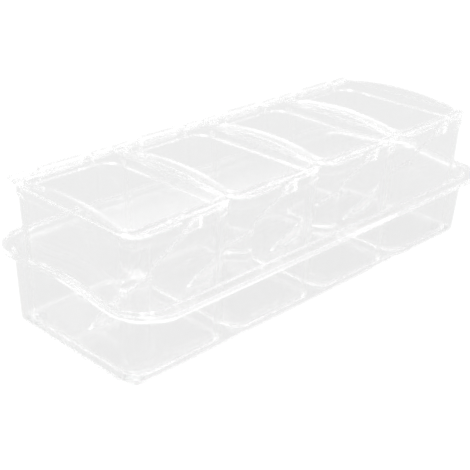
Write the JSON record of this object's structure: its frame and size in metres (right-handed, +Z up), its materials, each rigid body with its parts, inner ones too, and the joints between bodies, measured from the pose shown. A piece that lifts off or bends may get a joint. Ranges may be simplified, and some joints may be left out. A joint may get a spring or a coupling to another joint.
{
  "type": "condiment caddy",
  "caption": "Clear condiment caddy: an ice tray with a wide rim holding lift-out cups, each with a hinged arched lid and a spoon resting in a notch.",
  "frame": {"origin": "on the ground under the middle of the tray", "axes": "+X along the row of cups to the right, seen from the lids' lips; -Y to the front, where the lids open; +Z up"},
  "size_m": [0.387, 0.1742, 0.1173],
  "materials": {
    "tray_plastic": "clear moulded, polished",
    "foot_rubber": "clear soft plastic",
    "cup_plastic": "clear moulded, polished",
    "pin_plastic": "clear extruded rod",
    "lid_plastic": "clear moulded, polished",
    "spoon_plastic": "clear moulded"
  },
  "bodies": {
    "tray_body": {"tray": "tray_plastic", "foot_front_left": "foot_rubber", "foot_front_right": "foot_rubber", "foot_back_left": "foot_rubber", "foot_back_right": "foot_rubber"},
    "cup_body_1": {"cup_1": "cup_plastic", "hinge_pin_1": "pin_plastic"},
    "lid_body_1": {"lid_1": "lid_plastic"},
    "spoon_body_1": {"spoon_1": "spoon_plastic"},
    "cup_body_2": {"cup_2": "cup_plastic", "hinge_pin_2": "pin_plastic"},
    "lid_body_2": {"lid_2": "lid_plastic"},
    "spoon_body_2": {"spoon_2": "spoon_plastic"},
    "cup_body_3": {"cup_3": "cup_plastic", "hinge_pin_3": "pin_plastic"},
    "lid_body_3": {"lid_3": "lid_plastic"},
    "spoon_body_3": {"spoon_3": "spoon_plastic"},
    "cup_body_4": {"cup_4": "cup_plastic", "hinge_pin_4": "pin_plastic"},
    "lid_body_4": {"lid_4": "lid_plastic"},
    "spoon_body_4": {"spoon_4": "spoon_plastic"}
  },
  "joints": [
    {"name": "cup_lift_1", "type": "slide", "parent": "tray_body", "child": "cup_body_1", "axis": [0, 0, 1], "range_m": [0, 0.08]},
    {"name": "lid_hinge_1", "type": "hinge", "parent": "cup_body_1", "child": "lid_body_1", "pos_m": [-0.138, 0.0665, 0.1085], "axis": [-1, 0, 0], "range_deg": [0, 110]},
    {"name": "spoon_draw_1", "type": "slide", "parent": "cup_body_1", "child": "spoon_body_1", "axis": [0.2031, -0.5824, 0.7871], "range_m": [0, 0.05]},
    {"name": "cup_lift_2", "type": "slide", "parent": "tray_body", "child": "cup_body_2", "axis": [0, 0, 1], "range_m": [0, 0.08]},
    {"name": "lid_hinge_2", "type": "hinge", "parent": "cup_body_2", "child": "lid_body_2", "pos_m": [-0.046, 0.0665, 0.1085], "axis": [-1, 0, 0], "range_deg": [0, 110]},
    {"name": "spoon_draw_2", "type": "slide", "parent": "cup_body_2", "child": "spoon_body_2", "axis": [0.2031, -0.5824, 0.7871], "range_m": [0, 0.05]},
    {"name": "cup_lift_3", "type": "slide", "parent": "tray_body", "child": "cup_body_3", "axis": [0, 0, 1], "range_m": [0, 0.08]},
    {"name": "lid_hinge_3", "type": "hinge", "parent": "cup_body_3", "child": "lid_body_3", "pos_m": [0.046, 0.0665, 0.1085], "axis": [-1, 0, 0], "range_deg": [0, 110]},
    {"name": "spoon_draw_3", "type": "slide", "parent": "cup_body_3", "child": "spoon_body_3", "axis": [0.2031, -0.5824, 0.7871], "range_m": [0, 0.05]},
    {"name": "cup_lift_4", "type": "slide", "parent": "tray_body", "child": "cup_body_4", "axis": [0, 0, 1], "range_m": [0, 0.08]},
    {"name": "lid_hinge_4", "type": "hinge", "parent": "cup_body_4", "child": "lid_body_4", "pos_m": [0.138, 0.0665, 0.1085], "axis": [-1, 0, 0], "range_deg": [0, 110]},
    {"name": "spoon_draw_4", "type": "slide", "parent": "cup_body_4", "child": "spoon_body_4", "axis": [0.2031, -0.5824, 0.7871], "range_m": [0, 0.05]}
  ]
}
